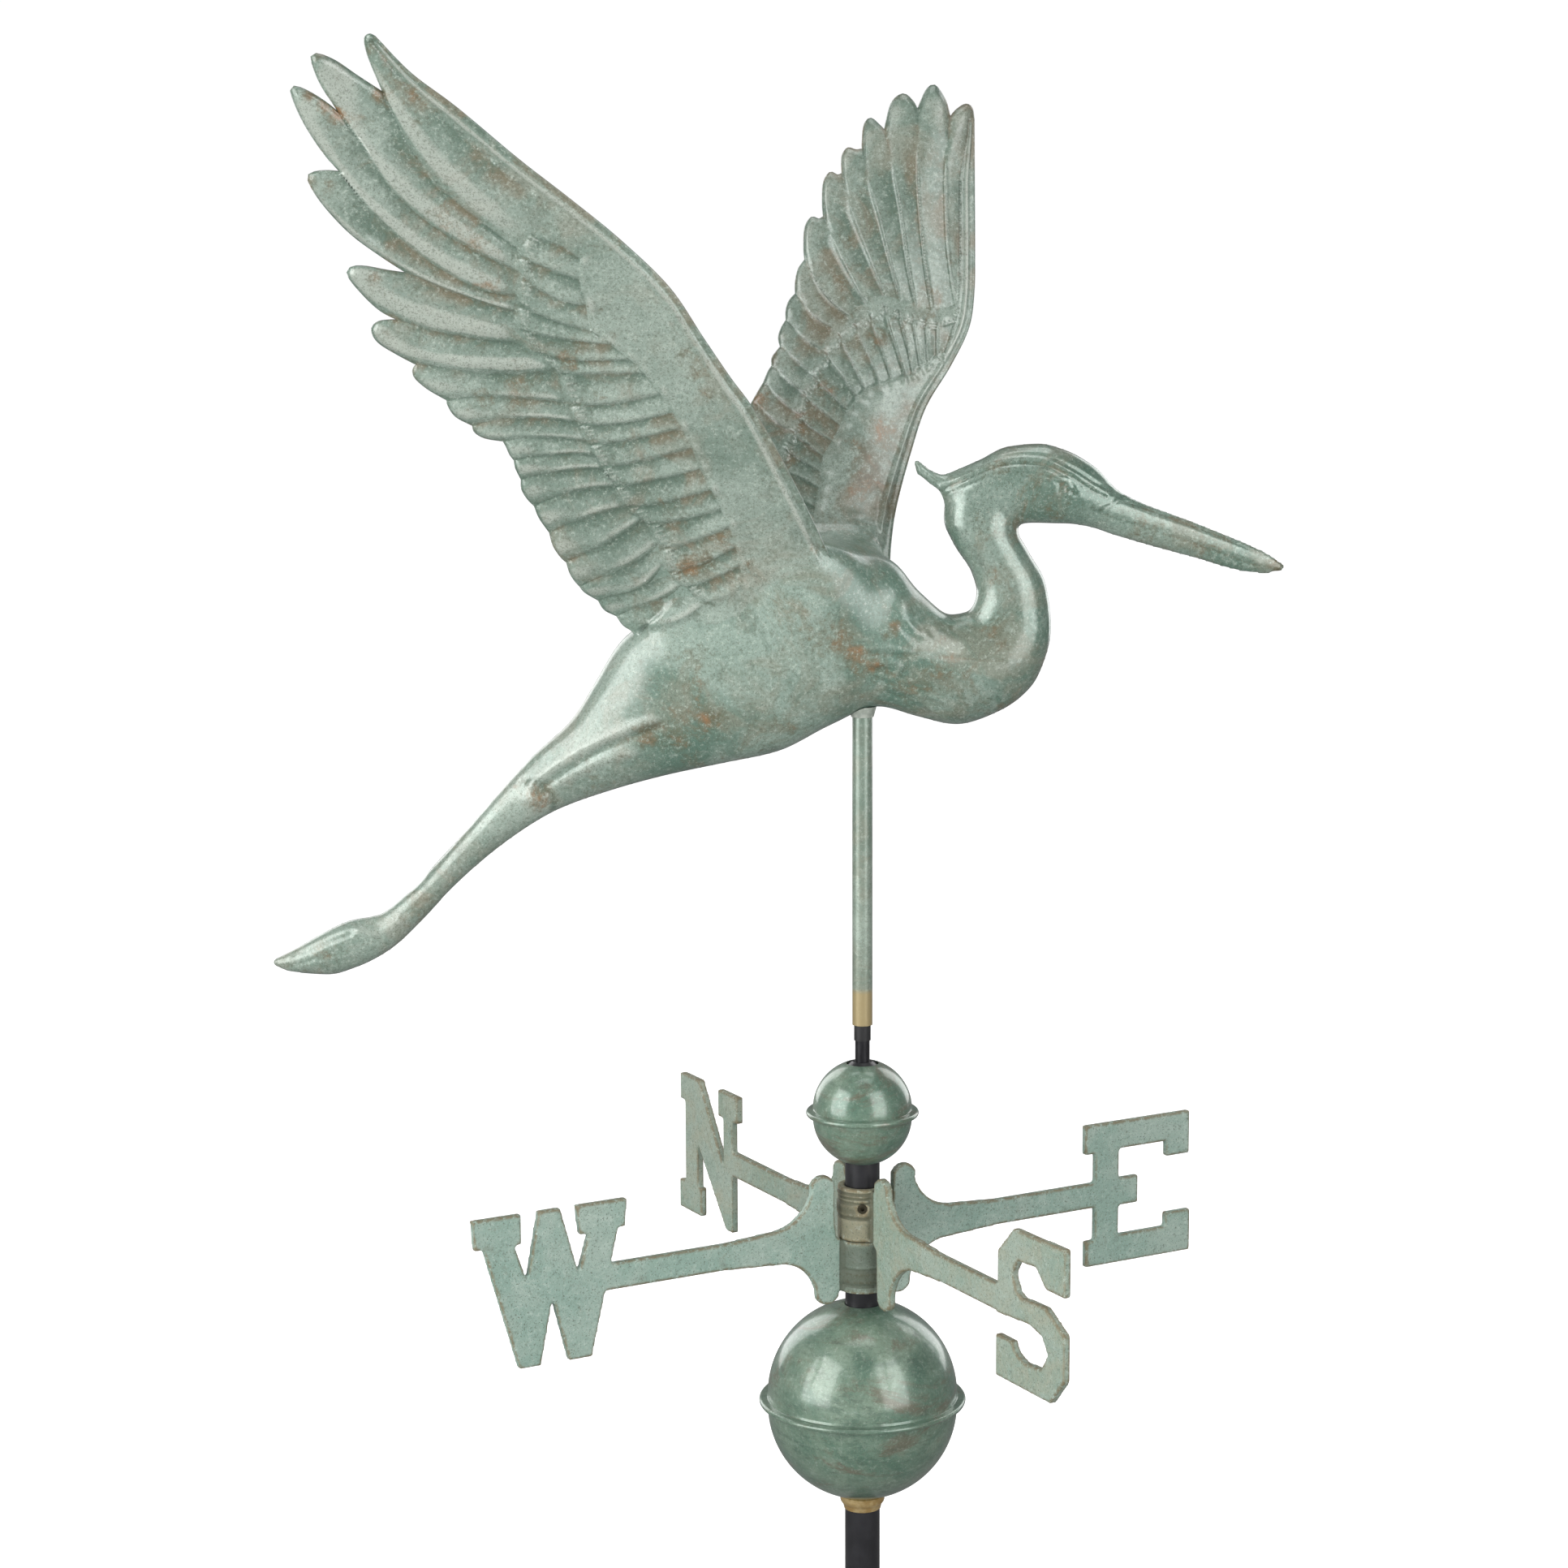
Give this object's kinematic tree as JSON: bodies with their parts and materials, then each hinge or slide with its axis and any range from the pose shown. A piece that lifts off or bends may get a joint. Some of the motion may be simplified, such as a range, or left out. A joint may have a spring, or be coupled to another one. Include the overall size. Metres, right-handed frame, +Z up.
{
  "type": "weather vane",
  "caption": "Weather vane: hollow copper heron with raised wings that turns on a spindle above cast compass letters and copper globes on a black mast.",
  "frame": {"origin": "centre of the mast's bottom end", "axes": "+Z up along the mast, +X the way the heron's beak points at rest, +Y towards the heron's left wing"},
  "size_m": [0.535, 0.3611, 0.988],
  "materials": {
    "heron_copper": "stamped copper sheet with a pale grey-green verdigris patina, brown in the creases, satin",
    "tube_copper": "drawn copper tube with the same patina, worn golden at the lower end",
    "globe_copper": "spun copper sheet, darker sea-green patina brushed round the axis, glossy",
    "cast_brass_patina": "sand-cast brass with a pale mint-grey patina, matt and finely pitted",
    "polished_brass": "turned and polished brass",
    "plain_brass": "turned brass",
    "black_powder_coat": "black satin powder coat on steel",
    "black_steel": "black-oxide steel rod",
    "bearing_steel": "ground steel ball",
    "dark_screw_steel": "dark socket set screws",
    "black_nylon": "black nylon sleeve",
    "solder": "dull soft solder"
  },
  "bodies": {
    "mast": {"mast_tube": "black_powder_coat", "mast_top_plug": "black_powder_coat", "spindle": "black_steel", "bearing_ball": "bearing_steel", "brass_collar": "polished_brass", "collar_set_screw": "dark_screw_steel", "large_globe_lower": "globe_copper", "large_globe_upper": "globe_copper", "small_globe_lower": "globe_copper", "small_globe_upper": "globe_copper"},
    "compass": {"directional_east_west": "cast_brass_patina", "directional_north_south": "cast_brass_patina", "directional_set_screws": "dark_screw_steel"},
    "heron": {"body_right_half": "heron_copper", "body_left_half": "heron_copper", "right_wing_outer_skin": "heron_copper", "right_wing_inner_skin": "heron_copper", "left_wing_outer_skin": "heron_copper", "left_wing_inner_skin": "heron_copper", "pivot_tube": "tube_copper", "lower_sleeve": "black_nylon", "bearing_cap": "plain_brass", "belly_solder_ring": "solder"}
  },
  "joints": [
    {"name": "vane_spin", "type": "hinge", "parent": "mast", "child": "heron", "pos_m": [0, 0, 0.693], "axis": [0, 0, 1], "continuous": true},
    {"name": "compass_align", "type": "hinge", "parent": "mast", "child": "compass", "pos_m": [0, 0, 0.3582], "axis": [0, 0, 1], "continuous": true}
  ]
}
